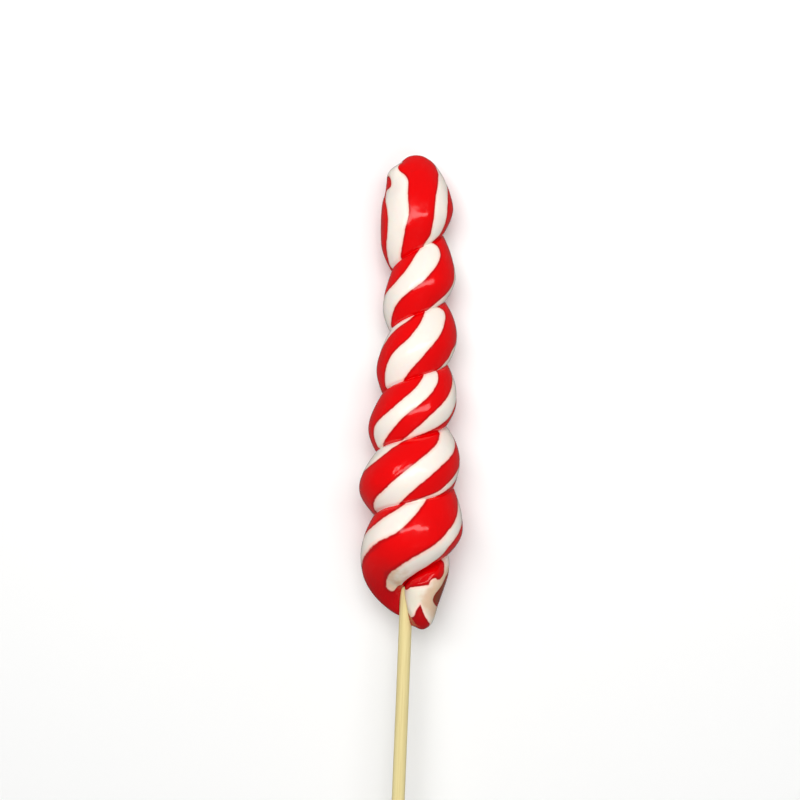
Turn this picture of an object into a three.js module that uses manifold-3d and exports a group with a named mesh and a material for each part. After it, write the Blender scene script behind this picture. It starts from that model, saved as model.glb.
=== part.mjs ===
// A swirl lollipop lying on its back: a thick rope of pulled sugar, wound in
// one long right-handed coil round a thin bamboo stick.
// Millimetres, +Z up. The candy's tip points along +Y and the stick along -Y.
// The origin is under the middle of the whole lollipop, on the table.
//
// The candy is measured in its own frame: "along" is the distance from the tip
// down the stick's axis, and "turn" counts the coil's turns from the tip down.
// A whole turn faces up, a quarter faces left, a half down, three quarters right.

import * as THREE from "three";
import { mergeVertices } from "three/addons/utils/BufferGeometryUtils.js";
import Module from "manifold-3d";

// ---- Driving dimensions -------------------------------------------------

const STICK_RADIUS = 1.75;
const STICK_LENGTH = 200;
const STICK_TOP = 28; // along, where the stick ends inside the candy
const STICK_EDGE = 0.2; // bevel round the stick's sawn ends
const STICK_GAP = 0.3; // clear space between stick and candy

const TIP = 0.4; // along, at the very top of the dome
const DOME_HEIGHT = 6.2;
const TOP_LOBE_RADIUS = 10;
const TOP_LOBE_FULL = 17.5; // along, where the top lobe has its full radius

const FIRST_TURN = -0.35; // the coil's groove runs out on the dome here
const LAST_TURN = 6.05; // the rope's loose end is tucked in here

const BORE_RADIUS = STICK_RADIUS + STICK_GAP;

// The groove between neighbouring turns: [turn, along].
const GROOVE_ALONG = [
  [-0.35, 0.4], [-0.25, 1.6], [0, 5.9], [0.25, 12.2], [0.5, 17.3], [0.75, 22.0],
  [1.25, 32.3], [1.75, 40.0], [2.25, 48.7], [2.75, 57.0], [3.25, 65.7], [3.75, 73.7],
  [4.25, 81.4], [4.75, 90.1], [5.25, 98.4], [5.75, 108.3], [LAST_TURN, 116.9],
];

// Radius at the bottom of the groove: [turn, radius].
const GROOVE_RADIUS = [
  [0.25, 9.8], [0.5, 8.7], [0.75, 6.9], [1.25, 7.2], [1.75, 6.8], [2.25, 7.6],
  [2.75, 8.3], [3.25, 8.5], [3.75, 8.9], [4.25, 9.3], [4.75, 11.6], [5.25, 9.9],
  [5.75, 9.5], [LAST_TURN, BORE_RADIUS],
];

// Radius over the crest of the rope: [turn, radius]. The candy thickens downwards.
const CREST_RADIUS = [
  [-1.35, 10.0], [0.25, 10.0], [0.75, 10.0], [1.25, 10.0], [1.75, 10.6], [2.25, 10.8],
  [2.75, 11.6], [3.25, 12.0], [3.75, 13.3], [4.25, 13.9], [4.75, 13.9], [5.0, 13.8],
  [5.25, 13.5], [5.5, 12.4], [5.75, 10.8], [5.9, 8.4], [LAST_TURN, BORE_RADIUS],
];

// The coil's middle wanders a little from the stick: [along, sideways].
const SIDEWAYS = [
  [0, -2.0], [5.4, -1.7], [16, -1.25], [27, -0.7], [34, 0], [70, -0.1],
  [89, -0.2], [100, 0.55], [108, 0.65], [116, 0], [130, 0],
];

// Where the last turn ends on the stick: [turn, along]. The rope's loose end
// makes the blunt tongue that reaches furthest down.
const BOTTOM_ALONG = [
  [5.05, 116.9], [5.13, 117.8], [5.19, 120.4], [5.24, 123.4], [5.3, 124.6], [5.5, 124.8],
  [5.68, 126.6], [5.76, 128.2], [5.83, 128.3], [5.9, 126.6], [5.96, 123.4], [6.0, 120.6],
  [LAST_TURN, 116.9],
];

// The top lobe's outline: [along, radius]. The left one has the shoulder where
// the rope's other end is folded over.
const CAP_OUTLINE = [
  [0, 6.1], [3, 6.2], [5, 6.7], [7, 7.6], [9.2, 8.6], [11.3, 9.3], [13.5, 9.8],
  [TOP_LOBE_FULL, TOP_LOBE_RADIUS],
];
const SHOULDER_OUTLINE = [
  [0, 6.1], [3.2, 6.3], [4.3, 7.4], [5.3, 8.05], [8.1, 8.5], [11.3, 8.95], [14, 9.7],
  [TOP_LOBE_FULL, TOP_LOBE_RADIUS],
];

// The parts of a turn over which that shoulder rises and then falls away again.
const SHOULDER_RISES = [0.05, 0.14];
const SHOULDER_FALLS = [0.36, 0.5];

// The groove deepens from nothing over the first part of a turn.
const GROOVE_DEEPENS = [0, 0.35];

// The rope's section changes twice: where the last turn closes in on the stick,
// and where it ends in the tongue. Turns.
const CLOSING = [4.7, 5.2];
const TONGUE = [5.45, 5.75];

// Where the crest lies across the rope: 0 is the groove above, 1 the one below.
const CREST_AT = { rope: 0.6, closing: 0.4, tongue: 0.22 };

// Each side falls from the crest by a power: the higher, the squarer its shoulder.
const UPPER_POWER = 1.85;
const UPPER_POWER_SWING = 0.25; // less on the left flank, more on the right
const LOWER_POWER = { rope: 1.6, closing: 1.8, tongue: 9.8 };
const LOWER_ROUNDNESS = { rope: 1, closing: 0.65, tongue: 0.38 };
const CREST_FOOT = 0.3; // rounds the powers' foot, so that the crest has no edge

// The tongue narrows towards its end, and the end is drawn in under it.
const TONGUE_TAPER = 0.28;
const TONGUE_TAPER_FULL = 0.85; // share of the way down its side
const TONGUE_THICKNESS = 8.75;
const TONGUE_TUCK = 1.4;
const TONGUE_TUCK_RANGE = [0.84, 1.05]; // share of the way down its side

// How the candy rests: the thick lower turns lift the stick off the table, and
// the lowest two places are pressed flat.
const REST_TILT_DEG = 3;
const TIP_AXIS_HEIGHT = 8.5;
const TABLE = { width: 80, length: 400, depth: 20 };

// Mesh steps
const STEPS_PER_TURN = 44;
const FACET = 1.45; // length of a facet across the rope
const STICK_SIDES = 32;

// ---- Small maths ----------------------------------------------------------

// A smooth curve through [position, value] pairs (cubic, slopes from neighbours).
function through(knots, position) {
  const last = knots.length - 1;
  const x = Math.min(Math.max(position, knots[0][0]), knots[last][0]);
  let i = 0;
  while (i < last - 1 && x >= knots[i + 1][0]) i += 1;
  const chord = (k) => (knots[k + 1][1] - knots[k][1]) / (knots[k + 1][0] - knots[k][0]);
  const span = (k) => knots[k + 1][0] - knots[k][0];
  const slope = (k) => {
    if (k === 0) return chord(0);
    if (k === last) return chord(last - 1);
    return (chord(k - 1) * span(k) + chord(k) * span(k - 1)) / (span(k) + span(k - 1));
  };
  const h = span(i);
  const t = (x - knots[i][0]) / h;
  return (2 * t ** 3 - 3 * t ** 2 + 1) * knots[i][1]
    + (t ** 3 - 2 * t ** 2 + t) * h * slope(i)
    + (3 * t ** 2 - 2 * t ** 3) * knots[i + 1][1]
    + (t ** 3 - t ** 2) * h * slope(i + 1);
}

const mix = (from, to, share) => from + (to - from) * share;

const ramp = (x, [from, to]) => THREE.MathUtils.smoothstep(x, from, to);

// A power curve from 0 to 1 with a rounded foot.
function softPower(x, power) {
  const rise = (t) => (t * t + CREST_FOOT * CREST_FOOT) ** (power / 2) - CREST_FOOT ** power;
  return rise(x) / rise(1);
}

// ---- The rope's surface ---------------------------------------------------

// The point at "turn" round the coil and at "across" the rope: 0 is the groove
// above it, 1 the groove below it.
function ropePoint(turn, across) {
  const angle = 2 * Math.PI * turn;
  const inLastTurn = turn > LAST_TURN - 1;
  const closing = ramp(turn, CLOSING);
  const tongue = ramp(turn, TONGUE);
  const staged = (value) => mix(mix(value.rope, value.closing, closing), value.tongue, tongue);
  const crest = through(CREST_RADIUS, turn);
  const groove = (at) => mix(crest, through(GROOVE_RADIUS, at), ramp(at, GROOVE_DEEPENS));
  const above = { along: through(GROOVE_ALONG, turn), radius: groove(turn) };
  const below = inLastTurn
    ? { along: through(BOTTOM_ALONG, turn), radius: BORE_RADIUS }
    : { along: through(GROOVE_ALONG, turn + 1), radius: groove(turn + 1) };

  const crestAt = staged(CREST_AT);
  let radius;
  let share;
  let tuck = 0;
  if (across <= crestAt) {
    const power = UPPER_POWER - UPPER_POWER_SWING * Math.sin(angle);
    radius = mix(crest, above.radius, softPower(1 - across / crestAt, power));
    share = across;
  } else {
    const down = (across - crestAt) / (1 - crestAt);
    const x = mix(down, Math.sin((Math.PI / 2) * down), closing);
    const taper = 1 - TONGUE_TAPER * tongue * ramp(x, [0, TONGUE_TAPER_FULL]);
    const fall = Math.max(1 - softPower(x, staged(LOWER_POWER)), 0) ** staged(LOWER_ROUNDNESS);
    const thickness = crest - below.radius;
    radius = below.radius + thickness * taper * fall;
    share = mix(crestAt, 1, x);
    tuck = TONGUE_TUCK * tongue * (thickness / TONGUE_THICKNESS) * ramp(down, TONGUE_TUCK_RANGE);
  }
  const along = mix(above.along, below.along, share) - tuck;

  if (along < TOP_LOBE_FULL) {
    const up = Math.min((along - TIP) / DOME_HEIGHT, 1);
    const dome = Math.sqrt(1 - (1 - up) ** 2);
    const facing = turn - Math.floor(turn);
    const shoulder = ramp(facing, SHOULDER_RISES) * (1 - ramp(facing, SHOULDER_FALLS));
    const outline = mix(through(CAP_OUTLINE, along), through(SHOULDER_OUTLINE, along), shoulder);
    radius *= (dome * outline) / TOP_LOBE_RADIUS;
  }
  return new THREE.Vector3(
    through(SIDEWAYS, along) - radius * Math.sin(angle),
    -along,
    radius * Math.cos(angle),
  );
}

// ---- Mesh of the candy ------------------------------------------------------

// Rows of points across the rope, one row for each step of turn. A row's last
// point is the first point of the row one whole turn further on, so that the
// turns are welded along the groove.
function candyGeometry() {
  const points = [];
  const triangles = [];
  const add = (point) => points.push(point) - 1;
  const firstRow = Math.round((FIRST_TURN - 1) * STEPS_PER_TURN);
  const lastRow = Math.round(LAST_TURN * STEPS_PER_TURN);
  const turnOf = (row) => row / STEPS_PER_TURN;
  const tip = add(ropePoint(FIRST_TURN, 0));
  const grooveRow = (row) => row > FIRST_TURN * STEPS_PER_TURN && row <= lastRow;

  const grooves = new Map();
  const groovePoint = (row) => {
    if (!grooveRow(row)) return tip;
    if (!grooves.has(row)) grooves.set(row, add(ropePoint(turnOf(row), 0)));
    return grooves.get(row);
  };
  const rim = new Map();
  const rimPoint = (row) => {
    if (!rim.has(row)) rim.set(row, add(ropePoint(turnOf(row), 1)));
    return rim.get(row);
  };

  const rows = [];
  for (let row = firstRow; row <= lastRow; row += 1) {
    const turn = turnOf(row);
    const start = groovePoint(row);
    const onStick = row + STEPS_PER_TURN > lastRow;
    let end = onStick ? rimPoint(row) : groovePoint(row + STEPS_PER_TURN);
    if (row === lastRow) end = start;
    if (start === end) {
      rows.push([{ share: 0, index: start }]);
      continue;
    }
    const middle = ropePoint(turn, 0.5);
    const width = middle.distanceTo(points[start]) + middle.distanceTo(points[end]);
    const count = Math.max(1, Math.round(width / FACET));
    const line = [{ share: 0, index: start }];
    for (let k = 1; k < count; k += 1) {
      line.push({ share: k / count, index: add(ropePoint(turn, k / count)) });
    }
    line.push({ share: 1, index: end });
    rows.push(line);
  }

  // Fills the strip between two rows that may have different counts of points.
  const face = (a, b, c) => {
    if (a !== b && b !== c && c !== a) triangles.push(a, b, c);
  };
  for (let r = 0; r + 1 < rows.length; r += 1) {
    const here = rows[r];
    const next = rows[r + 1];
    let i = 0;
    let j = 0;
    while (i < here.length - 1 || j < next.length - 1) {
      const hereShare = i < here.length - 1 ? here[i + 1].share : 2;
      const nextShare = j < next.length - 1 ? next[j + 1].share : 2;
      if (hereShare <= nextShare) {
        face(here[i].index, next[j].index, here[i + 1].index);
        i += 1;
      } else {
        face(here[i].index, next[j].index, next[j + 1].index);
        j += 1;
      }
    }
  }

  // The bore for the stick: from the rim up to a flat end inside.
  const rimRows = [];
  for (let row = lastRow - STEPS_PER_TURN + 1; row <= lastRow; row += 1) {
    rimRows.push(row === lastRow ? groovePoint(lastRow) : rimPoint(row));
  }
  const boreEnd = STICK_TOP - STICK_GAP;
  const top = rimRows.map((index) => add(new THREE.Vector3(points[index].x, -boreEnd, points[index].z)));
  const middle = add(new THREE.Vector3(0, -boreEnd, 0));
  rimRows.forEach((index, k) => {
    const after = (k + 1) % rimRows.length;
    face(index, rimRows[after], top[k]);
    face(rimRows[after], top[after], top[k]);
    face(top[k], top[after], middle);
  });

  const geometry = new THREE.BufferGeometry();
  const flat = points.flatMap((p) => [p.x, p.y, p.z]);
  geometry.setAttribute("position", new THREE.Float32BufferAttribute(flat, 3));
  geometry.setIndex(triangles);
  return geometry;
}

// ---- The flat places underneath --------------------------------------------

// Turns a closed geometry into a manifold solid, placed by a matrix.
function toSolid(wasm, source, matrix) {
  const bare = source.clone();
  bare.deleteAttribute("normal");
  bare.deleteAttribute("uv");
  bare.applyMatrix4(matrix);
  const welded = mergeVertices(bare, 1e-5);
  return new wasm.Manifold(new wasm.Mesh({
    numProp: 3,
    vertProperties: welded.attributes.position.array,
    triVerts: welded.index.array,
  }));
}

function toGeometry(solid) {
  const mesh = solid.getMesh();
  const geometry = new THREE.BufferGeometry();
  geometry.setAttribute("position", new THREE.BufferAttribute(mesh.vertProperties, 3));
  geometry.setIndex(new THREE.BufferAttribute(mesh.triVerts, 1));
  return geometry;
}

const wasm = await Module();
wasm.setup();

// Candy frame to resting frame, before the origin is centred.
const resting = new THREE.Matrix4()
  .makeRotationX(-THREE.MathUtils.degToRad(REST_TILT_DEG))
  .setPosition(0, 0, TIP_AXIS_HEIGHT);

const table = new THREE.BoxGeometry(TABLE.width, TABLE.length, TABLE.depth);
const belowZero = new THREE.Matrix4().makeTranslation(0, 0, -TABLE.depth / 2);
const pressed = toSolid(wasm, candyGeometry(), resting).subtract(toSolid(wasm, table, belowZero));

const candy = new THREE.Mesh(
  toGeometry(pressed),
  new THREE.MeshStandardMaterial({ color: 0xe30613, roughness: 0.15, metalness: 0 }),
);
candy.name = "candy";

// ---- The stick ----------------------------------------------------------------

const half = STICK_LENGTH / 2;
const stickOutline = [
  new THREE.Vector2(0, -half),
  new THREE.Vector2(STICK_RADIUS - STICK_EDGE, -half),
  new THREE.Vector2(STICK_RADIUS, -half + STICK_EDGE),
  new THREE.Vector2(STICK_RADIUS, half - STICK_EDGE),
  new THREE.Vector2(STICK_RADIUS - STICK_EDGE, half),
  new THREE.Vector2(0, half),
];
const stick = new THREE.Mesh(
  new THREE.LatheGeometry(stickOutline, STICK_SIDES),
  new THREE.MeshStandardMaterial({ color: 0xe8dcaa, roughness: 0.6, metalness: 0 }),
);
stick.name = "stick";
stick.position.y = -(STICK_TOP + half);

const tilted = new THREE.Group();
tilted.applyMatrix4(resting);
tilted.add(stick);

// ---- The whole lollipop, centred over its origin ------------------------------

const group = new THREE.Group();
group.add(candy, tilted);
group.updateMatrixWorld(true);
const box = new THREE.Box3().setFromObject(group, true);
const centre = box.getCenter(new THREE.Vector3());
group.position.set(-centre.x, -centre.y, -box.min.z);

export default group;
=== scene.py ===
import bpy
import numpy as np
from mathutils import Matrix, Vector


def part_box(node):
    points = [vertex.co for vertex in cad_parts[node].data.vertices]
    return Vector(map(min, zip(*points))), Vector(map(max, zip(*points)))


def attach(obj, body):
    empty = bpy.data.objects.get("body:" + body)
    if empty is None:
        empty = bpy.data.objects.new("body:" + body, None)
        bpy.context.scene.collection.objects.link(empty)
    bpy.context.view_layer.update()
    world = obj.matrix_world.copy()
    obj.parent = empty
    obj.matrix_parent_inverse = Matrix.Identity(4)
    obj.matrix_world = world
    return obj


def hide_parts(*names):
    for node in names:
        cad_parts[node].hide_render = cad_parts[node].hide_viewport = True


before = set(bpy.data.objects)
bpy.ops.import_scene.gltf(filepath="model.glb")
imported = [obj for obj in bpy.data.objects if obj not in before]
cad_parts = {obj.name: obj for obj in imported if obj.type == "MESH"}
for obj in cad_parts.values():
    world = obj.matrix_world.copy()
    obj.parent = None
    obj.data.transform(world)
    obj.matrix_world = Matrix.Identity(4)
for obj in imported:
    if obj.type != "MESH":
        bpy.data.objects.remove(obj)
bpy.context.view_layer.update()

# A twisted lollipop lying on its back: a rope of pulled sugar coiled up a bamboo
# stick. The candy is worked out in the stick's own straight frame, in millimetres:
# "sideways" is to the right, "along" runs from the candy's tip down the stick, and
# "lift" stands square to both, up and out of the side shown.

# ---- The stick ---------------------------------------------------------------
# A round bamboo stick, split from the cane, turned through a die and sanded, so
# that its straight fibres run from end to end. The sugar was wound round it warm.

MM = 0.001
REST_TILT = np.radians(3.0)  # the thick lower turns hold the stick's free end up
STICK_RADIUS = 1.75
STICK_LENGTH = 200.0
STICK_TOP = 28.0  # along, where the stick ends inside the candy
STICK_EDGE = 0.2  # bevel round the sawn ends
THREE_WAVE_DIP = 0.012  # how far its radius dips, in three waves round it
ONE_WAVE_DIP = 0.01  # and in one wave round it
SIDEWAYS = np.array([1.0, 0.0, 0.0])
ALONG = np.array([0.0, -np.cos(REST_TILT), np.sin(REST_TILT)])
LIFT = np.array([0.0, np.sin(REST_TILT), np.cos(REST_TILT)])

stick_low, stick_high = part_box("stick")
stick_middle = (np.array(stick_low) + np.array(stick_high)) / 2
TIP = stick_middle - (STICK_TOP + STICK_LENGTH / 2) * MM * ALONG


def in_frame(sideways, along, lift):
    """Millimetres in the stick's own frame to metres in the object's: the tip plus
    each distance times its direction."""
    steps = [np.asarray(d)[..., None] * axis
             for d, axis in ((sideways, SIDEWAYS), (along, ALONG), (lift, LIFT))]
    return TIP + sum(steps) * MM


def mesh_piece(name, points, triangles):
    """A mesh object at the origin from an array of points and one of corner numbers."""
    mesh = bpy.data.meshes.new(name)
    mesh.from_pydata(points.tolist(), [], triangles.tolist())
    mesh.polygons.foreach_set("use_smooth", np.ones(len(triangles), bool))
    mesh.validate()
    piece = bpy.data.objects.new(name, mesh)
    bpy.context.scene.collection.objects.link(piece)
    return piece


def tube_triangles(rings, sides):
    """Two triangles between each pair of neighbours on neighbouring closed rings."""
    ring, side = np.meshgrid(np.arange(rings - 1), np.arange(sides), indexing="ij")
    a = ring * sides + side
    b = ring * sides + (side + 1) % sides
    c, d = b + sides, a + sides
    return np.concatenate([np.stack([a, c, b], -1), np.stack([a, d, c], -1)]).reshape(-1, 3)


def linear(code):
    """An sRGB hex colour as the linear colour that a socket takes."""
    srgb = np.array([int(code[i:i + 2], 16) for i in (1, 3, 5)]) / 255
    straight = np.where(srgb <= 0.04045, srgb / 12.92, ((srgb + 0.055) / 1.055) ** 2.4)
    return (*straight.tolist(), 1.0)


def add(tree, kind, inputs=None, **settings):
    """Adds one node, sets its properties, and fills or links its inputs."""
    made = tree.nodes.new(kind)
    for name, value in settings.items():
        setattr(made, name, value)
    for socket, value in (inputs or {}).items():
        if isinstance(value, bpy.types.NodeSocket):
            tree.links.new(value, made.inputs[socket])
        else:
            made.inputs[socket].default_value = value
    return made


def material(name):
    """An empty node material with its output."""
    made = bpy.data.materials.new(name)
    made.use_nodes = True
    made.node_tree.nodes.clear()
    return made, made.node_tree, made.node_tree.nodes.new("ShaderNodeOutputMaterial")


def stick_surface(along, angle):
    """A cylinder that is a little out of round: its radius is less by three waves round
    it, which turn by a radian in 23 mm of its length, and one that does in 9 mm."""
    three_waves = THREE_WAVE_DIP * (1 + np.sin(3 * angle + along / 23))
    one_wave = ONE_WAVE_DIP * (1 + np.sin(angle + along / 9))
    radius = STICK_RADIUS - (three_waves + one_wave)
    return radius * np.sin(angle), radius * np.cos(angle)


def make_stick():
    sides = 72
    rings = 130  # from bevel to bevel
    bevel = np.array([0, STICK_EDGE])
    spans = np.linspace(STICK_EDGE, STICK_LENGTH - STICK_EDGE, rings)[1:-1]
    run = STICK_TOP + np.concatenate([bevel, spans, STICK_LENGTH - bevel[::-1]])
    angle = np.linspace(0, 2 * np.pi, sides, endpoint=False)
    along, around = np.meshgrid(run, angle, indexing="ij")
    sideways, lift = stick_surface(along, around)
    shrink = np.ones(len(run))
    shrink[[0, -1]] = 1 - STICK_EDGE / STICK_RADIUS
    sideways, lift = sideways * shrink[:, None], lift * shrink[:, None]
    local = np.stack([sideways, along, lift], -1).reshape(-1, 3)
    end_middles = np.array([[0, run[0], 0], [0, run[-1], 0]])
    local = np.concatenate([local, end_middles])
    top_middle, low_middle = len(local) - 2, len(local) - 1
    side = np.arange(sides)
    beside = (side + 1) % sides
    low_ring = (len(run) - 1) * sides
    caps = [np.stack([np.full(sides, top_middle), side, beside], -1),
            np.stack([np.full(sides, low_middle), low_ring + beside, low_ring + side], -1)]
    triangles = np.concatenate([tube_triangles(len(run), sides), *caps])
    piece = mesh_piece("bamboo_stick", in_frame(*local.T), triangles)
    grain = piece.data.attributes.new("grain", "FLOAT_VECTOR", "POINT")
    grain.data.foreach_set("vector", local.astype(np.float32).ravel())
    return piece


def bamboo():
    """Sanded bamboo: pale straw with fine straight fibres about a quarter of a
    millimetre wide and 20 mm long, some darker, in slow patches of tone 2 mm wide, and
    a dull surface. The patterns' scales are per mm, across, along and across."""
    made, tree, output = material("sanded_bamboo")
    grain = add(tree, "ShaderNodeAttribute", attribute_name="grain").outputs["Vector"]
    fibre_scale = add(tree, "ShaderNodeMapping", {"Vector": grain, "Scale": (3.6, 0.05, 3.6)})
    fibres = add(tree, "ShaderNodeTexNoise",
                 {"Vector": fibre_scale.outputs[0], "Scale": 1.0, "Detail": 4.0, "Roughness": 0.6})
    patch_scale = add(tree, "ShaderNodeMapping", {"Vector": grain, "Scale": (0.5, 0.03, 0.5)})
    patches = add(tree, "ShaderNodeTexNoise",
                  {"Vector": patch_scale.outputs[0], "Scale": 1.0, "Detail": 2.0})
    straw = add(tree, "ShaderNodeValToRGB", {"Fac": fibres.outputs["Fac"]})
    straw.color_ramp.elements[0].position = 0.30
    straw.color_ramp.elements[0].color = linear("#CFB878")
    straw.color_ramp.elements[1].position = 0.56
    straw.color_ramp.elements[1].color = linear("#E8D99D")
    tone = add(tree, "ShaderNodeMix", {"Factor": patches.outputs["Fac"], 6: straw.outputs["Color"],
                                       7: linear("#E2D297")}, data_type="RGBA")
    bump = add(tree, "ShaderNodeBump",
               {"Height": fibres.outputs["Fac"], "Strength": 0.35, "Distance": 0.05 * MM})
    shader = add(tree, "ShaderNodeBsdfPrincipled",
                 {"Base Color": tone.outputs[2], "Roughness": 0.55, "IOR": 1.5,
                  "Normal": bump.outputs[0]})
    tree.links.new(shader.outputs[0], output.inputs["Surface"])
    return made


stick = make_stick()
stick.data.materials.append(bamboo())
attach(stick, "root")
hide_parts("stick")

# ---- The candy rope ------------------------------------------------------------
# Boiled sugar, pulled into a thick red rope with white strands, and coiled round
# the stick while warm, so that the turns sagged into each other and fused along
# the groove between them. The last turn ends in a blunt tongue beside the stick.
#
# "turn" counts the coil's turns from the tip down: a whole turn faces up, a quarter
# left, a half down and three quarters right. "across" runs from 0 in the groove
# above the rope to 1 in the groove below it. Every pair below is (place, value).

FIRST_TURN = -0.35
LAST_TURN = 6.05
WOOD_GAP = 0.03  # between the sugar and the stick
HUG_RADIUS = STICK_RADIUS + WOOD_GAP
# By turn: where the groove above lies, how far it and the crest stand from the coil's
# middle, and where the last turn's lower rim lies. By along: how far the coil's middle
# wanders sideways from the stick.
GROOVE_ALONG = [
    (-0.35, 0.4), (-0.25, 1.6), (0, 5.9), (0.25, 12.2), (0.5, 17.3), (0.75, 22.0),
    (1.25, 32.3), (1.75, 40.0), (2.25, 48.7), (2.75, 57.0), (3.25, 65.7), (3.75, 73.7),
    (4.25, 81.4), (4.75, 90.1), (5.25, 98.4), (5.75, 108.3), (LAST_TURN, 116.9)]
GROOVE_RADIUS = [
    (0.25, 9.8), (0.5, 8.7), (0.75, 6.9), (1.25, 7.2), (1.75, 6.8), (2.25, 7.6),
    (2.75, 8.3), (3.25, 8.5), (3.75, 8.9), (4.25, 9.3), (4.75, 11.6), (5.25, 9.9),
    (5.75, 9.5), (LAST_TURN, HUG_RADIUS)]
CREST_RADIUS = [
    (-1.35, 10.0), (0.25, 10.0), (0.75, 10.0), (1.25, 10.0), (1.75, 10.6), (2.25, 10.8),
    (2.75, 11.6), (3.25, 12.0), (3.75, 13.3), (4.25, 13.9), (4.75, 13.9), (5.0, 13.8),
    (5.25, 13.5), (5.5, 12.4), (5.75, 10.8), (5.9, 8.4), (LAST_TURN, HUG_RADIUS)]
COIL_MIDDLE = [
    (0, -2.0), (5.4, -1.7), (16, -1.25), (27, -0.7), (34, 0), (70, -0.1), (89, -0.2),
    (100, 0.55), (108, 0.65), (116, 0), (130, 0)]
BOTTOM_ALONG = [
    (5.05, 116.9), (5.13, 117.8), (5.19, 120.4), (5.24, 123.4), (5.3, 124.6), (5.5, 124.8),
    (5.68, 126.6), (5.76, 128.2), (5.83, 128.3), (5.9, 126.6), (5.96, 123.4), (6.0, 120.6),
    (LAST_TURN, 116.9)]
TOP_LOBE_RADIUS = 10.0
TOP_LOBE_FULL = 17.5  # along, where it has its whole radius
TIP_ALONG = 0.4
DOME_HEIGHT = 6.2  # of the round end, from the tip down
# The top lobe's radius by along, all round and on its left shoulder.
CAP_OUTLINE = [
    (0, 6.1), (3, 6.2), (5, 6.7), (7, 7.6), (9.2, 8.6), (11.3, 9.3), (13.5, 9.8),
    (TOP_LOBE_FULL, TOP_LOBE_RADIUS)]
SHOULDER_OUTLINE = [
    (0, 6.1), (3.2, 6.3), (4.3, 7.4), (5.3, 8.05), (8.1, 8.5), (11.3, 8.95), (14, 9.7),
    (TOP_LOBE_FULL, TOP_LOBE_RADIUS)]
SHOULDER_COMES = (0.05, 0.14)  # turn, from up round to the left
SHOULDER_GOES = (0.36, 0.5)
GROOVE_DEEPENS = (0, 0.35)  # the turns in which the first groove gains its depth
CLOSING = (4.7, 5.2)  # the turns in which the rope closes in on the stick
TONGUE = (5.45, 5.75)  # the turns in which it grows into the tongue
TONGUE_THICKNESS = 8.75
TUCK = 1.4  # how far the tongue's lower rim is drawn up under it
CREST_AT = 0.6  # across, where the radius is greatest
UPPER_POWER = 1.85  # of the curve from the crest to the groove above
POWER_SWING = 0.25  # less than that on the left, more on the right
LOWER_POWER = 1.6  # of the curve from the crest to the groove below
SKIN = 0.03  # how far the smooth surface keeps inside the solid's outermost facets
WAVE_DEPTH = 0.16  # the soft dents that the rope was left with as it set
SEAM_DEPTH = 0.07  # the faint line pressed in where a white strand meets the red
SEAM_WIDTH = 0.45
CREASE_DEPTH = 0.4  # the sharp crease at the bottom of the groove between turns
CREASE_WIDTH = 0.26
CREASE_COMES = (0.4, 0.75)  # the turns in which it gains its depth
RELIEF_FADE = 2.0  # the relief fades out over this much radius, next to the stick


def through(pairs, x):
    """A smooth curve through the pairs: a cubic on each span, with the slope at each
    pair worked out from its two neighbours. Flat beyond the ends."""
    xs, ys = np.array(pairs, float).T
    x = np.clip(x, xs[0], xs[-1])
    span = np.diff(xs)
    chord = np.diff(ys) / span
    slope = np.concatenate([
        chord[:1],
        (chord[:-1] * span[1:] + chord[1:] * span[:-1]) / (span[1:] + span[:-1]),
        chord[-1:]])
    i = np.clip(np.searchsorted(xs, x, side="right") - 1, 0, len(span) - 1)
    h = span[i]
    t = (x - xs[i]) / h
    return ((2 * t**3 - 3 * t**2 + 1) * ys[i] + (t**3 - 2 * t**2 + t) * h * slope[i]
            + (3 * t**2 - 2 * t**3) * ys[i + 1] + (t**3 - t**2) * h * slope[i + 1])


def ramp(x, start, end):
    """From 0 at start to 1 at end, with no corner at either."""
    t = np.clip((x - start) / (end - start), 0, 1)
    return t * t * (3 - 2 * t)


def soft_power(x, power, foot=0.3):
    """x to a power, from 0 to 1, with a rounded foot."""
    return (((x * x + foot * foot) ** (power / 2) - foot ** power)
            / ((1 + foot * foot) ** (power / 2) - foot ** power))


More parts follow.
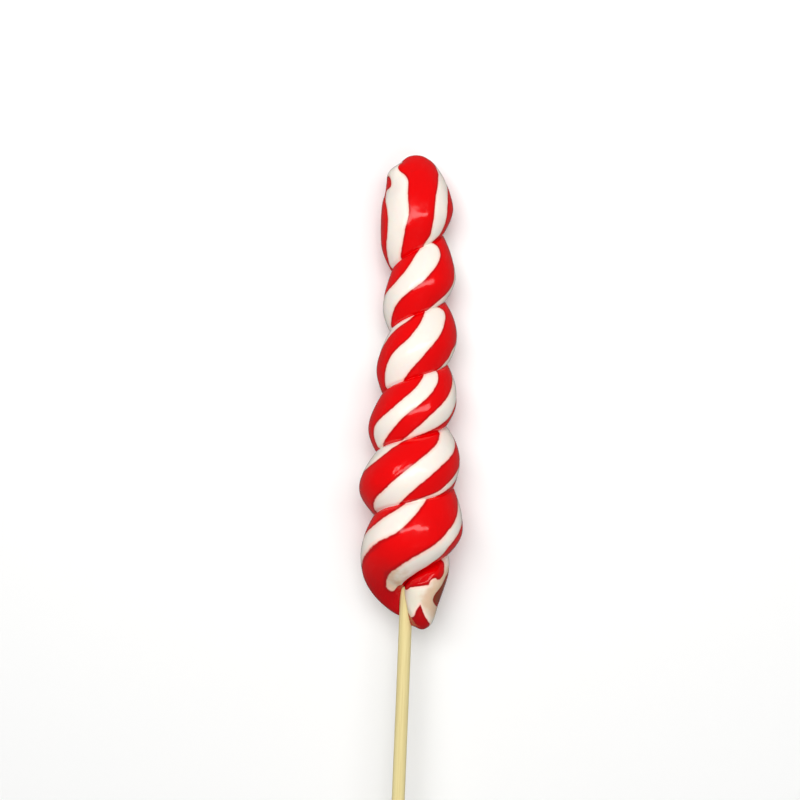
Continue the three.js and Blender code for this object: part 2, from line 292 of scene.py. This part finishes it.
def rope_section(turn, across):
    """Where the rope's surface lies, as (along, radius) from the coil's middle. From
    the crest the radius falls to the groove above by one power curve and to the
    groove below by another. As the last turn closes in on the stick and grows into
    the tongue, the crest moves up and the lower curve gets fuller. The top lobe is
    drawn in by a dome and by its outline."""
    in_last_turn = turn > LAST_TURN - 1
    closing = ramp(turn, *CLOSING)
    tongue = ramp(turn, *TONGUE)
    crest = through(CREST_RADIUS, turn)

    def groove(at):
        return crest + (through(GROOVE_RADIUS, at) - crest) * ramp(at, *GROOVE_DEEPENS)

    top_along, top_radius = through(GROOVE_ALONG, turn), groove(turn)
    low_along = np.where(in_last_turn, through(BOTTOM_ALONG, turn),
                         through(GROOVE_ALONG, turn + 1))
    low_radius = np.where(in_last_turn, HUG_RADIUS, groove(turn + 1))
    crest_at = CREST_AT - 0.2 * closing - 0.18 * tongue

    upper = np.clip(1 - across / crest_at, 0, 1)
    upper_power = UPPER_POWER - POWER_SWING * np.sin(2 * np.pi * turn)
    upper_radius = crest + (top_radius - crest) * soft_power(upper, upper_power)

    down = np.clip((across - crest_at) / (1 - crest_at), 0, 1)
    x = down + (np.sin(np.pi / 2 * down) - down) * closing
    lower_power = LOWER_POWER + 0.2 * closing + 8 * tongue
    fall = np.clip(1 - soft_power(x, lower_power), 0, 1)
    fall = fall ** (1 - 0.35 * closing - 0.27 * tongue)
    taper = 1 - 0.28 * tongue * ramp(x, 0, 0.85)
    thickness = crest - low_radius
    lower_radius = low_radius + thickness * taper * fall
    tuck = TUCK * tongue * thickness / TONGUE_THICKNESS * ramp(down, 0.84, 1.05)

    below = across > crest_at
    radius = np.where(below, lower_radius, upper_radius)
    share = np.where(below, crest_at + (1 - crest_at) * x, across)
    along = top_along + (low_along - top_along) * share - np.where(below, tuck, 0)

    facing = turn % 1
    shoulder = ramp(facing, *SHOULDER_COMES) * (1 - ramp(facing, *SHOULDER_GOES))
    cap = through(CAP_OUTLINE, along)
    outline = cap + (through(SHOULDER_OUTLINE, along) - cap) * shoulder
    up = np.clip((along - TIP_ALONG) / DOME_HEIGHT, 0, 1)
    dome = np.sqrt(1 - (1 - up) ** 2)
    radius = np.where(along < TOP_LOBE_FULL, radius * dome * outline / TOP_LOBE_RADIUS, radius)
    return along, radius


# The white strands. Each has two edges that cross the rope from its upper groove to
# its lower one: pairs of (across, turn). The first edge is the one nearer the tip.
STRANDS = [
    ([(0, 0.45), (0.95, 0.75), (1, 0.77)],
     [(0, 0.62), (0.5, 0.78), (0.75, 0.82), (0.87, 0.87), (0.95, 0.92), (1, 0.95)]),
    ([(0, 0.895), (0.1, 0.872), (0.2, 0.876), (0.315, 0.904), (0.448, 0.952), (0.538, 0.986),
      (0.602, 1.026), (0.662, 1.064), (0.735, 1.106), (0.858, 1.156), (0.928, 1.186), (1, 1.22)],
     [(0, 0.985), (0.1, 1.02), (0.25, 1.06), (0.35, 1.1), (0.43, 1.15), (0.5, 1.25), (1, 1.42)]),
    ([(0, 1.38), (0.93, 1.75), (1, 1.77)],
     [(0, 1.5), (0.6, 1.75), (0.7, 1.81), (0.85, 1.83), (1, 1.88)]),
    ([(0, 1.875), (0.07, 1.85), (0.25, 1.87), (0.4, 1.90), (0.6, 1.95), (0.8, 2.0), (1, 2.065)],
     [(0, 1.965), (0.2, 2.0), (0.4, 2.05), (0.5, 2.09), (0.78, 2.15), (1, 2.18)]),
    ([(0, 2.03), (0.06, 2.06), (0.11, 2.11), (0.17, 2.147), (0.28, 2.188), (0.36, 2.215),
      (0.6, 2.32), (1, 2.55)],
     [(0, 2.3), (1, 2.65)]),
    ([(0, 2.5), (0.65, 2.80), (0.85, 2.85), (0.92, 2.9), (1, 3.0)],
     [(0, 2.72), (0.25, 2.80), (0.45, 2.86), (0.65, 2.925), (0.85, 2.983),
      (0.93, 3.012), (1, 3.045)]),
    ([(0, 2.885), (0.152, 2.895), (0.285, 2.923), (0.398, 2.953), (0.475, 2.979), (0.562, 3.011),
      (0.672, 3.045), (0.801, 3.082), (0.918, 3.125), (1, 3.165)],
     [(0, 2.955), (0.2, 3.0), (0.35, 3.05), (0.5, 3.1), (0.62, 3.15), (0.75, 3.18), (1, 3.2)]),
    ([(0, 3.4), (0.75, 3.75), (0.9, 3.83), (1, 3.9)],
     [(0, 3.5), (0.62, 3.78), (0.85, 3.87), (0.92, 3.9), (1, 4.0)]),
    ([(0, 3.68), (0.18, 3.75), (0.4, 3.85), (0.52, 3.9), (0.68, 3.95), (0.85, 4.0), (1, 4.05)],
     [(0, 3.85), (0.17, 3.9), (0.3, 3.95), (0.45, 4.0), (0.62, 4.05), (0.77, 4.1), (0.87, 4.15),
      (1, 4.2)]),
    ([(0, 4.03), (0.08, 4.075), (0.16, 4.104), (0.23, 4.13), (0.29, 4.16), (0.36, 4.21), (0.7, 4.45),
      (1, 4.62)],
     [(0, 4.3), (1, 4.7)]),
    ([(0, 4.94), (0.1, 4.97), (0.2, 5.0), (0.33, 5.05), (0.4, 5.1), (0.45, 5.15), (0.51, 5.25),
      (0.8, 5.5), (1, 5.62)],
     [(0, 5.02), (0.05, 5.05), (0.12, 5.1), (0.2, 5.15), (0.3, 5.25), (0.6, 5.5), (1, 5.75)]),
]
# This one stops short of the stick, in a rounded end, at SHORT_STRAND_END, which also
# holds pairs of (across, turn).
SHORT_STRAND = (
    [(0, 4.6), (0.42, 4.745), (0.5, 4.788), (0.595, 4.836), (0.662, 4.86), (0.83, 4.9),
     (0.885, 4.95), (0.9, 5.0), (0.91, 5.2), (1, 5.5)],
    [(0, 4.7), (0.2, 4.78), (0.45, 4.87), (0.6, 4.955), (0.658, 5.03), (0.698, 5.078),
     (0.745, 5.115), (0.8, 5.16), (1, 5.3)])
SHORT_STRAND_END = [(0.82, 5.168), (0.865, 5.165), (0.891, 5.155), (0.911, 5.133)]
# On the top lobe the strands run down from the red head: pairs of (along, turn),
# the turn from -0.5 to 0.5. HEAD_EDGE is where the red head ends: (turn, along).
CAP_STRANDS = [
    ([(3.5, -0.33), (9.2, -0.208), (11.3, -0.178), (13.4, -0.162), (15.6, -0.154),
      (17.4, -0.154), (21, -0.155), (22.8, -0.145), (24, -0.12), (26, -0.09)],
     [(3.0, -0.175), (5.7, -0.152), (7.6, -0.128), (9.9, -0.108), (12.8, -0.088),
      (15.6, -0.080), (20, -0.074), (22, -0.072), (23.8, -0.068), (24.9, -0.052), (26, -0.04)]),
    ([(5, 0.06), (7.6, 0.058), (9.1, 0.048), (13.5, 0.042), (18.8, 0.038), (20.5, 0.045),
      (23.8, 0.063), (26.3, 0.082), (29.4, 0.116), (31, 0.135)],
     [(5, 0.24), (8, 0.235), (10.7, 0.21), (13.9, 0.176), (16, 0.158), (20.9, 0.148),
      (23.5, 0.154), (25.8, 0.176), (28.3, 0.2), (30.6, 0.232)]),
    ([(4, 0.50), (9, 0.485), (16.4, 0.45)], [(4, 0.56), (12, 0.585), (19.5, 0.62)]),
]
HEAD_EDGE = [
    (-0.5, 8), (-0.2, 3.4), (-0.1, 3.4), (0.05, 7.9), (0.074, 7.2), (0.098, 6.5), (0.118, 5.4),
    (0.14, 3.6), (0.17, 2.6), (0.24, 3.0), (0.3, 6), (0.4, 6), (0.5, 8)]
CAP_ENDS = 0.27  # turn, after which the coil's own strands begin
# Patches, as closed outlines: (along, turn) on the top lobe, (turn, across) on the tail.
SHOULDER_NOTCH = [
    (7.0, 0.187), (7.7, 0.170), (8.6, 0.158), (9.6, 0.151), (10.3, 0.153), (10.7, 0.166),
    (10.8, 0.185), (10.9, 0.205), (11.3, 0.23), (12.0, 0.28), (6.6, 0.28), (6.9, 0.235),
    (6.9, 0.21)]
TAIL_WHITE = [
    (5.70, -0.1), (5.62, 0.3), (5.52, 0.6), (5.50, 1.1), (6.2, 1.1), (6.2, -0.1)]
TAIL_REDS = [
    [(5.788, -0.1), (5.788, 0.05), (5.796, 0.11), (5.804, 0.17), (5.816, 0.20), (5.828, 0.22),
     (5.846, 0.205), (5.856, 0.165), (5.870, 0.16), (5.880, 0.18), (5.884, 0.24), (5.906, 0.236),
     (5.946, 0.236), (5.972, 0.25), (6.0, 0.345), (6.028, 0.40), (6.06, 0.5), (6.1, 0.5),
     (6.1, -0.1)],
    [(5.784, 0.23), (5.798, 0.27), (5.812, 0.305), (5.828, 0.33), (5.840, 0.355), (5.846, 0.385),
     (5.844, 0.415), (5.834, 0.445), (5.816, 0.475), (5.79, 0.51), (5.75, 0.55), (5.70, 0.60),
     (5.66, 0.66), (5.63, 0.72), (5.60, 0.3), (5.62, 0.22), (5.68, 0.20), (5.74, 0.21)],
    [(5.906, 0.48), (5.896, 0.52), (5.884, 0.57), (5.866, 0.63), (5.840, 0.68), (5.810, 0.73),
     (5.79, 0.82), (5.80, 1.1), (5.95, 1.1), (5.935, 0.92), (5.930, 0.80), (5.922, 0.61)],
    [(5.55, 0.0), (5.60, 0.2), (5.60, 0.5), (5.66, 0.95), (5.72, 0.95), (5.68, 0.5),
     (5.66, 0.2), (5.62, 0)],
]
# A patch of painted shade on the tail's right side, where the red is painted brown: (turn, across).
SHADE_PATCH = [
    (5.78, 0.18), (5.83, 0.25), (5.86, 0.32), (5.87, 0.41), (5.85, 0.49), (5.80, 0.53),
    (5.765, 0.48), (5.755, 0.36), (5.755, 0.24)]
# The short strand's end gets a tan painted shade, as strong as if it lay the number below, in mm, off
# the patch of painted shade.
WARM_SHADE_END = [(5.07, 0.68), (5.13, 0.75), (5.165, 0.83), (5.16, 0.90), (5.09, 0.93), (5.04, 0.8)]
WARM_SHADE_BY = 1.0
# Wrinkles that the rope set with: width and depth in mm, the depth less than zero where
# one stands up, and a line of (turn, across).
WRINKLES = [
    (1.0, -0.06, [(5.05, 0.255), (5.035, 0.280), (5.023, 0.312), (5.013, 0.332), (5.001, 0.325),
                  (4.983, 0.312), (4.961, 0.332), (4.939, 0.342), (4.92, 0.35)]),
    (0.9, -0.60, [(5.963, 0.030), (5.931, 0.012), (5.897, 0.012), (5.875, 0.030), (5.845, 0.08)]),
    (0.9, -0.20, [(0.06, 0.705), (0.034, 0.73), (0.002, 0.765), (-0.036, 0.815), (-0.055, 0.845)]),
    (3.5, -0.20, [(0.08, 0.34), (0.045, 0.38)]),
    (1.6, 0.15, [(1.01, 0.615), (0.984, 0.60), (0.95, 0.585)]),
    (1.5, 0.10, [(3.01, 0.57), (2.985, 0.54), (2.955, 0.515)]),
    (1.50, 0.20, [(4.10, 0.56), (4.05, 0.54), (4.0, 0.50)]),
    (0.40, 0.06, [(4.069, 0.455), (4.045, 0.462)]),
    (0.40, 0.06, [(4.049, 0.492), (4.023, 0.442)]),
    (0.40, 0.06, [(4.033, 0.415), (4.015, 0.385)]),
]
ROPE_WIDTH = 13.0  # mm from groove to groove over the rope's back
TAIL_WIDTH = 17.0  # the same over the tongue
TURN_LENGTH = 50.0  # mm of rope in one turn at the tail and the top lobe
LEAST_RADIUS = 0.5  # mm, so that a turn keeps some length where the rope nears the middle
FAR_IN_RED = -9.0  # mm, where no strand is near
# How many mm a corner is rounded over: where a strand's two edges meet, at the short
# strand's end, round a red patch on the tail, and on the top lobe.
EDGE_BLEND = 0.6
END_BLEND = 0.9
RED_BLEND = 0.4
CAP_BLEND = 1.2


def soft_min(a, b, blend):
    """The lower of two distances, rounded where they meet."""
    h = np.clip(0.5 + 0.5 * (b - a) / blend, 0, 1)
    return b + (a - b) * h - blend * h * (1 - h)


def between(edges, place, turn, turn_length, place_length):
    """Distance in mm into a strand from the nearer of its two edges: the difference in
    turn, divided by how fast it changes over the surface."""
    sides = []
    step = 0.001
    for edge, sign in zip(edges, (1, -1)):
        slope = (through(edge, place + step) - through(edge, place - step)) / (2 * step)
        steepness = np.hypot(1 / turn_length, slope / place_length)
        sides.append(sign * (turn - through(edge, place)) / steepness)
    return soft_min(*sides, EDGE_BLEND)


def from_line(corners, x, y):
    """Distance to the nearest of the straight sides from corner to corner."""
    nearest = np.full(x.shape, np.inf)
    for (x0, y0), (x1, y1) in zip(corners, corners[1:]):
        dx, dy = x1 - x0, y1 - y0
        t = np.clip(((x - x0) * dx + (y - y0) * dy) / (dx * dx + dy * dy), 0, 1)
        nearest = np.minimum(nearest, np.hypot(x - x0 - t * dx, y - y0 - t * dy))
    return nearest


def inside(outline, x, y, x_length, y_length):
    """Distance in mm into a closed outline, less than zero outside it: the distance to
    the nearest side, with its sign from how often the outline crosses a line left."""
    corners = np.array(outline + outline[:1]) * (x_length, y_length)
    x, y = x * x_length, y * y_length
    nearest = from_line(corners, x, y)
    odd = np.zeros(x.shape, bool)
    for (x0, y0), (x1, y1) in zip(corners, corners[1:]):
        if y1 != y0:
            odd ^= ((y0 > y) != (y1 > y)) & (x < x0 + (y - y0) * (x1 - x0) / (y1 - y0))
    return np.where(odd, nearest, -nearest)


def white_depth(turn, across, along, radius):
    """How far inside the white sugar each point lies, in mm, less than zero in the red:
    the greatest of the strands' distances, less the red patches."""
    turn_length = 2 * np.pi * np.maximum(radius, LEAST_RADIUS)
    depth = np.full(turn.shape, FAR_IN_RED)
    for edges in STRANDS:
        depth = np.maximum(depth, between(edges, across, turn, turn_length, ROPE_WIDTH))
    short = between(SHORT_STRAND, across, turn, turn_length, ROPE_WIDTH)
    end = (through(SHORT_STRAND_END, across) - turn) * turn_length
    depth = np.maximum(depth, soft_min(short, end, END_BLEND))
    depth = np.maximum(depth, inside(TAIL_WHITE, turn, across, TURN_LENGTH, TAIL_WIDTH))
    for red in TAIL_REDS:
        patch = inside(red, turn, across, TURN_LENGTH, TAIL_WIDTH)
        depth = soft_min(depth, -patch, RED_BLEND)

    facing = (turn + 0.5) % 1 - 0.5
    cap = np.full(turn.shape, FAR_IN_RED)
    head = along - through(HEAD_EDGE, facing)
    for edges in CAP_STRANDS:
        for turned in (facing, facing + 1):
            strand = between(edges, along, turned, turn_length, 1.0)
            cap = np.maximum(cap, soft_min(strand, head, CAP_BLEND))
    notch = inside(SHOULDER_NOTCH, along, facing, 1.0, TURN_LENGTH)
    cap = soft_min(cap, -notch, CAP_BLEND)
    return np.where(turn > CAP_ENDS, depth, cap)


def dents(turn, across):
    """Soft dents, from 0 to 1 and fading to 0 in the grooves: three slow waves that run
    slantwise over the rope, at lengths that don't repeat, over their total height."""
    wave = (np.sin(2 * np.pi * (1.7 * turn + 0.6 * across) + 0.4)
            + 0.7 * np.sin(2 * np.pi * (3.1 * turn - 1.1 * across) + 2.1)
            + 0.5 * np.sin(2 * np.pi * (5.3 * turn + 1.9 * across) + 4.0)) / 2.2
    return (0.5 + 0.5 * wave) * np.sin(np.pi * across)


def wrinkles(turn, across):
    """How deep the wrinkles are, in mm: for each, a bell curve on the distance to its
    line, with the turn measured along the rope's crest."""
    depth = np.zeros(turn.shape)
    for width, deepest, line in WRINKLES:
        turn_length = 2 * np.pi * float(through(CREST_RADIUS, line[0][0]))
        corners = np.array(line) * (turn_length, ROPE_WIDTH)
        distance = from_line(corners, turn * turn_length, across * ROPE_WIDTH)
        depth += deepest * np.exp(-(distance / width) ** 2)
    return depth


def creases(turn, across):
    """How deep the sharp crease is, in mm: a bell curve on the distance from each
    groove, with no crease round the tip or at the rim round the stick."""
    above = np.exp(-(across * ROPE_WIDTH / CREASE_WIDTH) ** 2)
    above = ramp(turn, *CREASE_COMES) * above
    below = np.exp(-((1 - across) * ROPE_WIDTH / CREASE_WIDTH) ** 2)
    below = ramp(turn + 1, *CREASE_COMES) * below
    return CREASE_DEPTH * np.maximum(above, np.where(turn > LAST_TURN - 1, 0, below))


def make_candy():
    steps = 220  # rows in a turn
    columns = 53  # points across the rope
    crowding = 0.65  # how much closer they lie near the grooves
    rows = round((LAST_TURN - FIRST_TURN + 1) * steps) + 1
    turns = FIRST_TURN - 1 + np.arange(rows) / steps
    even = np.linspace(0, 1, columns)
    crowded = even - crowding * np.sin(2 * np.pi * even) / (2 * np.pi)
    turn, across = np.meshgrid(turns, crowded, indexing="ij")
    along, radius = rope_section(turn, across)
    white = white_depth(turn, across, along, radius)
    seam = SEAM_DEPTH * np.exp(-(white / SEAM_WIDTH) ** 2) * np.sin(np.pi * across)
    fade = ramp(radius, HUG_RADIUS, HUG_RADIUS + RELIEF_FADE)
    relief = SKIN + WAVE_DEPTH * dents(turn, across) + seam + creases(turn, across)
    relief += wrinkles(turn, across)
    radius = radius - relief * fade
    angle = 2 * np.pi * turn
    middle = through(COIL_MIDDLE, along)
    local = np.stack([middle - radius * np.sin(angle), along, radius * np.cos(angle)], -1)

    # The rows share points: all of the first turn's upper ends are the tip, each row's
    # lower end is the upper end of the row one turn on, and the last row is one point.
    grid = np.arange(rows * columns).reshape(rows, columns)
    point = grid.copy()
    point[:steps + 1, 0] = point[0, :] = point[0, 0]
    point[-1, :] = point[-1, 0]
    point[:-steps, -1] = point[steps:, 0]

    def strips(of):
        a, b, c, d = of[:-1, :-1], of[:-1, 1:], of[1:, 1:], of[1:, :-1]
        return np.concatenate([np.stack([a, c, b], -1).reshape(-1, 3),
                               np.stack([a, d, c], -1).reshape(-1, 3)])

    corners, samples = strips(point), strips(grid)

    # The bore round the stick, from the last turn's lower rim up to a flat end.
    rim = point[-steps - 1:-1, -1]
    first_new = rows * columns
    top = first_new + np.arange(steps)
    rim_local = local.reshape(-1, 3)[rim]
    top_local = rim_local.copy()
    top_local[:, 1] = STICK_TOP - WOOD_GAP
    end_local = np.array([[0, STICK_TOP - WOOD_GAP, 0]])
    end = np.full(steps, first_new + steps)
    rim_next, top_next = np.roll(rim, -1), np.roll(top, -1)
    bore = np.concatenate([np.stack([rim, rim_next, top], -1),
                           np.stack([rim_next, top_next, top], -1),
                           np.stack([top, top_next, end], -1)])
    corners = np.concatenate([corners, bore])
    samples = np.concatenate([samples, np.full(bore.shape, grid[-1, 0])])

    whole = ((corners[:, 0] != corners[:, 1]) & (corners[:, 1] != corners[:, 2])
             & (corners[:, 2] != corners[:, 0]))
    corners, samples = corners[whole], samples[whole]
    points = in_frame(*np.concatenate([local.reshape(-1, 3), top_local, end_local]).T)
    points[:, 2] = np.maximum(points[:, 2], 0)  # pressed flat where it lies
    used, corners = np.unique(corners, return_inverse=True)
    piece = mesh_piece("pulled_sugar_rope", points[used], corners.reshape(-1, 3))
    # The field of painted shade: the brown patch on the tail, and the short strand's end, which gets a
    # tan painted shade.
    warm = np.minimum(inside(WARM_SHADE_END, turn, across, TURN_LENGTH, ROPE_WIDTH), 0) - WARM_SHADE_BY
    patch_shade = np.maximum(inside(SHADE_PATCH, turn, across, TURN_LENGTH, TAIL_WIDTH), warm)
    for label, field in (("white_depth", white), ("shade_patch_depth", patch_shade)):
        layer = piece.data.attributes.new(label, "FLOAT", "CORNER")
        layer.data.foreach_set("value", field.ravel()[samples].astype(np.float32).ravel())
    return piece


PAINTED_SHADE_ALONG = np.array([107.0, 121.0])  # along, where painted shade darkens the red and greys the white, towards the stick
PAINTED_SHADE_FROM, PAINTED_SHADE_TO = in_frame(0, PAINTED_SHADE_ALONG, 0)[:, 1].tolist()


def pulled_sugar():
    """Boiled and pulled sugar: glossy, dense and slightly translucent, deep red with
    opaque white strands. The colours meet in a crisp line that wavers a little, with a
    thin pink blush where they ran together and painted shade, a darker red, beside it.
    Towards the stick painted shade darkens the red and greys the white. A patch of
    painted shade turns the red brown on the tail's right side, and the white round it
    and at the short strand's end takes a tan painted shade in uneven patches."""
    made, tree, output = material("pulled_sugar")
    place = add(tree, "ShaderNodeTexCoord").outputs["Object"]
    depth = add(tree, "ShaderNodeAttribute", attribute_name="white_depth").outputs["Fac"]
    waver = add(tree, "ShaderNodeTexNoise",
                {"Vector": place, "Scale": 1 / (1.6 * MM), "Detail": 3.0, "Roughness": 0.55})
    shift = add(tree, "ShaderNodeMath", {0: waver.outputs["Fac"], 1: 0.36, 2: -0.18},
                operation="MULTIPLY_ADD").outputs[0]
    edge = add(tree, "ShaderNodeMath", {0: depth, 1: shift}, operation="ADD").outputs[0]
    white = add(tree, "ShaderNodeMapRange",
                {"Value": edge, "From Min": -0.12, "From Max": 0.16},
                interpolation_type="SMOOTHSTEP").outputs[0]
    inner = add(tree, "ShaderNodeMapRange", {"Value": edge, "From Min": 0.0, "From Max": 0.8},
                interpolation_type="SMOOTHSTEP").outputs[0]
    # Painted shade: the shade of the seam's groove, painted as a darker red beside each strand's edge.
    seam = add(tree, "ShaderNodeMapRange",
               {"Value": edge, "From Min": -0.7, "From Max": -0.05, "To Max": 0.6},
               interpolation_type="SMOOTHSTEP").outputs[0]
    cloud = add(tree, "ShaderNodeTexNoise",
                {"Vector": place, "Scale": 1 / (9 * MM), "Detail": 2.0}).outputs["Fac"]
    # Painted shade: towards the stick the red is painted darker and the white greyer.
    down = add(tree, "ShaderNodeSeparateXYZ", {"Vector": place}).outputs["Y"]
    low_painted_shade = add(tree, "ShaderNodeMapRange",
                {"Value": down, "From Min": PAINTED_SHADE_FROM, "From Max": PAINTED_SHADE_TO, "To Max": 0.8},
                interpolation_type="SMOOTHSTEP").outputs[0]
    clear_red = add(tree, "ShaderNodeMix",
                    {"Factor": cloud, 6: linear("#DC0002"), 7: linear("#EA0003")},
                    data_type="RGBA").outputs[2]
    red_in_low_shade = add(tree, "ShaderNodeMix",
                   {"Factor": low_painted_shade, 6: clear_red, 7: linear("#A40008")},
                   data_type="RGBA").outputs[2]
    # Painted shade: the tail's patch turns the red brown, and the white round it and at the short
    # strand's end takes a tan painted shade in uneven patches.
    patch_shade_place = add(tree, "ShaderNodeAttribute", attribute_name="shade_patch_depth").outputs["Fac"]
    patch_shade = add(tree, "ShaderNodeMapRange",
                {"Value": patch_shade_place, "From Min": -1.0, "From Max": 1.5, "To Max": 0.95},
                interpolation_type="SMOOTHSTEP").outputs[0]
    red_in_patch_shade = add(tree, "ShaderNodeMix", {"Factor": patch_shade, 6: red_in_low_shade, 7: linear("#833A20")},
                    data_type="RGBA").outputs[2]
    red = add(tree, "ShaderNodeMix", {"Factor": seam, 6: red_in_patch_shade, 7: linear("#8C000C")},
              data_type="RGBA").outputs[2]
    opaque = add(tree, "ShaderNodeMix",
                 {"Factor": low_painted_shade, 6: linear("#F5EBE1"), 7: linear("#E6DFCC")},
                 data_type="RGBA").outputs[2]
    cream = add(tree, "ShaderNodeMix", {"Factor": inner, 6: linear("#FFD4C6"), 7: opaque},
                data_type="RGBA").outputs[2]
    # Painted shade: tan on the white near the tail's patch, its edge broken up by noise.
    shade_mottle = add(tree, "ShaderNodeTexNoise",
                  {"Vector": place, "Scale": 1 / (2.5 * MM), "Detail": 3.0}).outputs["Fac"]
    shifted = add(tree, "ShaderNodeMath", {0: shade_mottle, 1: 5.0, 2: -2.5},
                  operation="MULTIPLY_ADD").outputs[0]
    mottled_patch_shade = add(tree, "ShaderNodeMath", {0: patch_shade_place, 1: shifted}, operation="ADD").outputs[0]
    tan_shade = add(tree, "ShaderNodeMapRange",
                  {"Value": mottled_patch_shade, "From Min": -3.2, "From Max": 0.2},
                  interpolation_type="SMOOTHSTEP").outputs[0]
    cream_in_tan_shade = add(tree, "ShaderNodeMix", {"Factor": tan_shade, 6: cream, 7: linear("#DDBFA2")},
                     data_type="RGBA").outputs[2]
    colour = add(tree, "ShaderNodeMix", {"Factor": white, 6: red, 7: cream_in_tan_shade},
                 data_type="RGBA").outputs[2]
    pits = add(tree, "ShaderNodeTexNoise",
               {"Vector": place, "Scale": 1 / (2.2 * MM), "Detail": 3.0, "Roughness": 0.5})
    ripples = add(tree, "ShaderNodeTexNoise", {"Vector": place, "Scale": 1 / (4.5 * MM), "Detail": 1.5})
    rippled = add(tree, "ShaderNodeBump",
                  {"Height": ripples.outputs["Fac"], "Strength": 1.0, "Distance": 0.14 * MM})
    bump = add(tree, "ShaderNodeBump",
               {"Height": pits.outputs["Fac"], "Strength": 0.3, "Distance": 0.12 * MM,
                "Normal": rippled.outputs[0]})
    sheen = add(tree, "ShaderNodeMapRange",
                {"Value": pits.outputs["Fac"], "From Min": 0.3, "From Max": 0.7,
                 "To Min": 0.08, "To Max": 0.15}).outputs[0]
    shader = add(tree, "ShaderNodeBsdfPrincipled",
                 {"Base Color": colour, "Roughness": sheen, "IOR": 1.5,
                  "Subsurface Weight": 0.3, "Subsurface Radius": (1.0, 0.45, 0.3),
                  "Subsurface Scale": 0.6 * MM, "Normal": bump.outputs[0]},
                 subsurface_method="RANDOM_WALK")
    tree.links.new(shader.outputs[0], output.inputs["Surface"])
    return made


candy = make_candy()
candy.data.materials.append(pulled_sugar())
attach(candy, "root")
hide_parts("candy")

# ---- The table, the light and the camera ----------------------------------------
# A plain pale table top, lit by a soft box towards the candy's tip, a wide fill from
# overhead and a low box from the stick's side. Only a narrow strip in the first shows
# in the gloss, as its highlights. The camera looks down on the lollipop.

FLOOR_SIZE = 6.0
FLOOR_DROP = 0.05 * MM  # keeps the table clear of the candy's pressed flats


def make_floor():
    half = FLOOR_SIZE / 2
    corners = np.array([(-half, -half), (half, -half), (half, half), (-half, half)])
    points = np.column_stack([corners, np.full(4, -FLOOR_DROP)])
    return mesh_piece("table_top", points, np.array([(0, 1, 2), (0, 2, 3)]))


def pale_laminate():
    """A matt white laminate, plain."""
    made, tree, output = material("pale_laminate")
    shader = add(tree, "ShaderNodeBsdfPrincipled",
                 {"Base Color": linear("#F6F6F5"), "Roughness": 0.7, "IOR": 1.45})
    tree.links.new(shader.outputs[0], output.inputs["Surface"])
    return made


def soft_box(name, place, target, width, height, watts, glossy=True):
    """A rectangular area light at a place, turned to face a target. Metres, watts."""
    lamp = bpy.data.lights.new(name, "AREA")
    lamp.shape = "RECTANGLE"
    lamp.size = width
    lamp.size_y = height
    lamp.energy = watts
    box = bpy.data.objects.new(name, lamp)
    box.location = place
    box.rotation_euler = (Vector(target) - Vector(place)).to_track_quat("-Z", "Y").to_euler()
    box.visible_glossy = glossy
    bpy.context.scene.collection.objects.link(box)


floor = make_floor()
floor.data.materials.append(pale_laminate())
floor.visible_glossy = False

KEY_AT, KEY_AIM, KEY_WIDTH = (0.0, 0.19, 0.48), (0, 0.04, 0), 0.70
soft_box("strip", KEY_AT, KEY_AIM, KEY_WIDTH, 0.08, 0.68)
soft_box("key", KEY_AT, KEY_AIM, KEY_WIDTH, 0.30, 0.72, glossy=False)
soft_box("fill", (-0.12, 0.32, 0.95), (0, 0.03, 0), 0.7, 0.7, 6.5, glossy=False)
soft_box("low", (0.22, -0.35, 0.70), (0, -0.02, 0), 0.5, 0.5, 1.2, glossy=False)

ROOM_LIGHT = 0.13
world = bpy.data.worlds.new("studio")
world.use_nodes = True
background = world.node_tree.nodes["Background"]
background.inputs["Color"].default_value = (1, 1, 1, 1)
background.inputs["Strength"].default_value = ROOM_LIGHT
bpy.context.scene.world = world
bpy.context.scene.view_settings.view_transform = "Standard"

CAMERA_AT = in_frame(0.09, 83.17, 324.0)
CAMERA_AIM = in_frame(-3.86, 67.17, 0.0)
CAMERA_ROLL = np.radians(2.34)  # the stick leans this much in the view
CAMERA_LENS = 54.08  # mm, on a sensor of SENSOR_WIDTH
SENSOR_WIDTH = 36.0


def make_camera():
    lens = bpy.data.cameras.new("camera")
    lens.lens = CAMERA_LENS
    lens.sensor_width = SENSOR_WIDTH
    lens.clip_start = 0.01
    lens.clip_end = 20.0
    back = Vector(CAMERA_AT - CAMERA_AIM).normalized()
    up = Vector(-ALONG * np.cos(CAMERA_ROLL) - SIDEWAYS * np.sin(CAMERA_ROLL))
    right = up.cross(back).normalized()
    up = back.cross(right)
    turned = Matrix((right, up, back)).transposed().to_4x4()
    made = bpy.data.objects.new("camera", lens)
    made.matrix_world = Matrix.Translation(Vector(CAMERA_AT)) @ turned
    bpy.context.scene.collection.objects.link(made)
    return made


bpy.context.scene.camera = make_camera()
